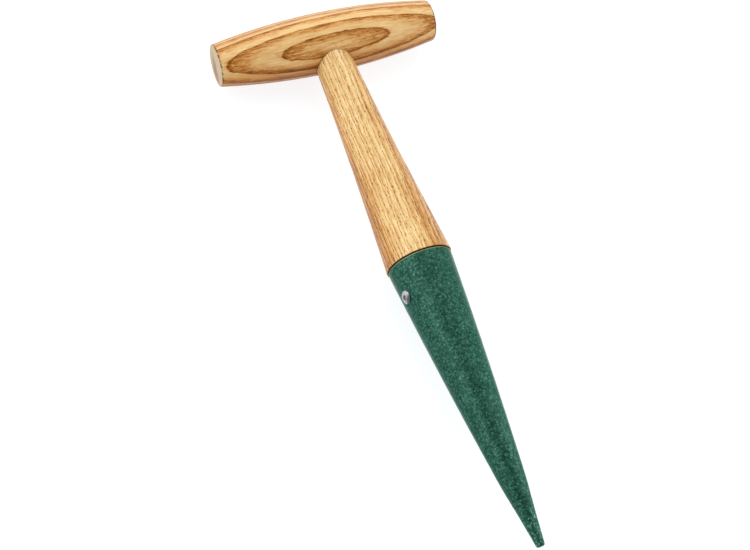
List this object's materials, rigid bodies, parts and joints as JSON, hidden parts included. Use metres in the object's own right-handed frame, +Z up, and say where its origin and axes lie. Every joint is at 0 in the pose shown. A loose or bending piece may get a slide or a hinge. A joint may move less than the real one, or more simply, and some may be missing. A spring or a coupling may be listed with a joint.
{
  "type": "bulb planter",
  "caption": "T-handled dibber for planting bulbs: a turned wooden crossbar and neck on a blunt, tapered steel point that is pushed into soil.",
  "frame": {"origin": "on the bench surface, under the middle of the tool's length and width, with the tool lying on its back", "axes": "+X along the crossbar, +Y from the blunt point toward the crossbar, +Z up from the bench. The tool's own axis leans 0.35 degrees in the YZ plane, because it rests on the crossbar's belly and on the neck's widest edge."},
  "size_m": [0.116, 0.2865, 0.0325],
  "materials": {
    "lacquered_ash": "satin lacquer over turned ash",
    "green_paint": "deep green hammered enamel",
    "rivet_aluminium": "bright, as pulled",
    "plain_steel": "plain drawn steel"
  },
  "bodies": {
    "root": {"crossbar": "lacquered_ash", "neck": "lacquered_ash", "tenon_pin": "plain_steel", "cone_shell": "green_paint", "seam_weld": "green_paint", "tip_weld": "green_paint", "tip_plug": "green_paint", "rivet_body": "rivet_aluminium", "rivet_mandrel": "plain_steel"}
  },
  "joints": []
}
